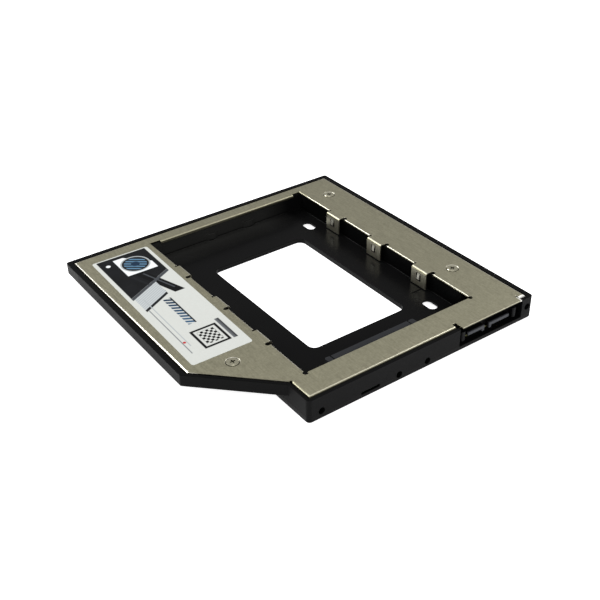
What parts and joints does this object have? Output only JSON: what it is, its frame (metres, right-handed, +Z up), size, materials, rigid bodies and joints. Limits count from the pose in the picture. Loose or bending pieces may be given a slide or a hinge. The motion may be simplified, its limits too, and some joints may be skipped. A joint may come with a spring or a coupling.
{
  "type": "drive bay adapter",
  "caption": "Slim optical bay tray with a stepped moulded frame and a folded sheet cover, which carries a 2.5-inch drive on a SATA adapter board.",
  "frame": {"origin": "under the centre of the outer box, on the surface that the tray lies on", "axes": "+X across the width towards the raised wing, +Y from the front to the rear with the connectors, +Z up through the cover"},
  "size_m": [0.128, 0.1262, 0.0098],
  "materials": {
    "frame_plastic": "fine matt black moulding",
    "cover_metal": "nickel-plated sheet, satin",
    "screw_metal": "nickel-plated",
    "label_film": "printed film label",
    "board": "solder-masked laminate",
    "connector_plastic": "moulded connector housing",
    "contact_metal": "gold-plated",
    "tinned_metal": "tinned",
    "capacitor_body": "ceramic chip with plated ends"
  },
  "bodies": {
    "root": {"frame": "frame_plastic", "top_cover": "cover_metal", "cover_screws": "screw_metal", "label": "label_film", "adapter_board": "board", "board_screws": "screw_metal", "board_capacitors": "capacitor_body", "drive_receptacle": "connector_plastic", "drive_power_contacts": "contact_metal", "drive_signal_contacts": "contact_metal", "drive_receptacle_locks": "tinned_metal", "host_plug": "connector_plastic", "host_power_contacts": "contact_metal", "host_signal_contacts": "contact_metal", "host_plug_locks": "tinned_metal"}
  },
  "joints": []
}
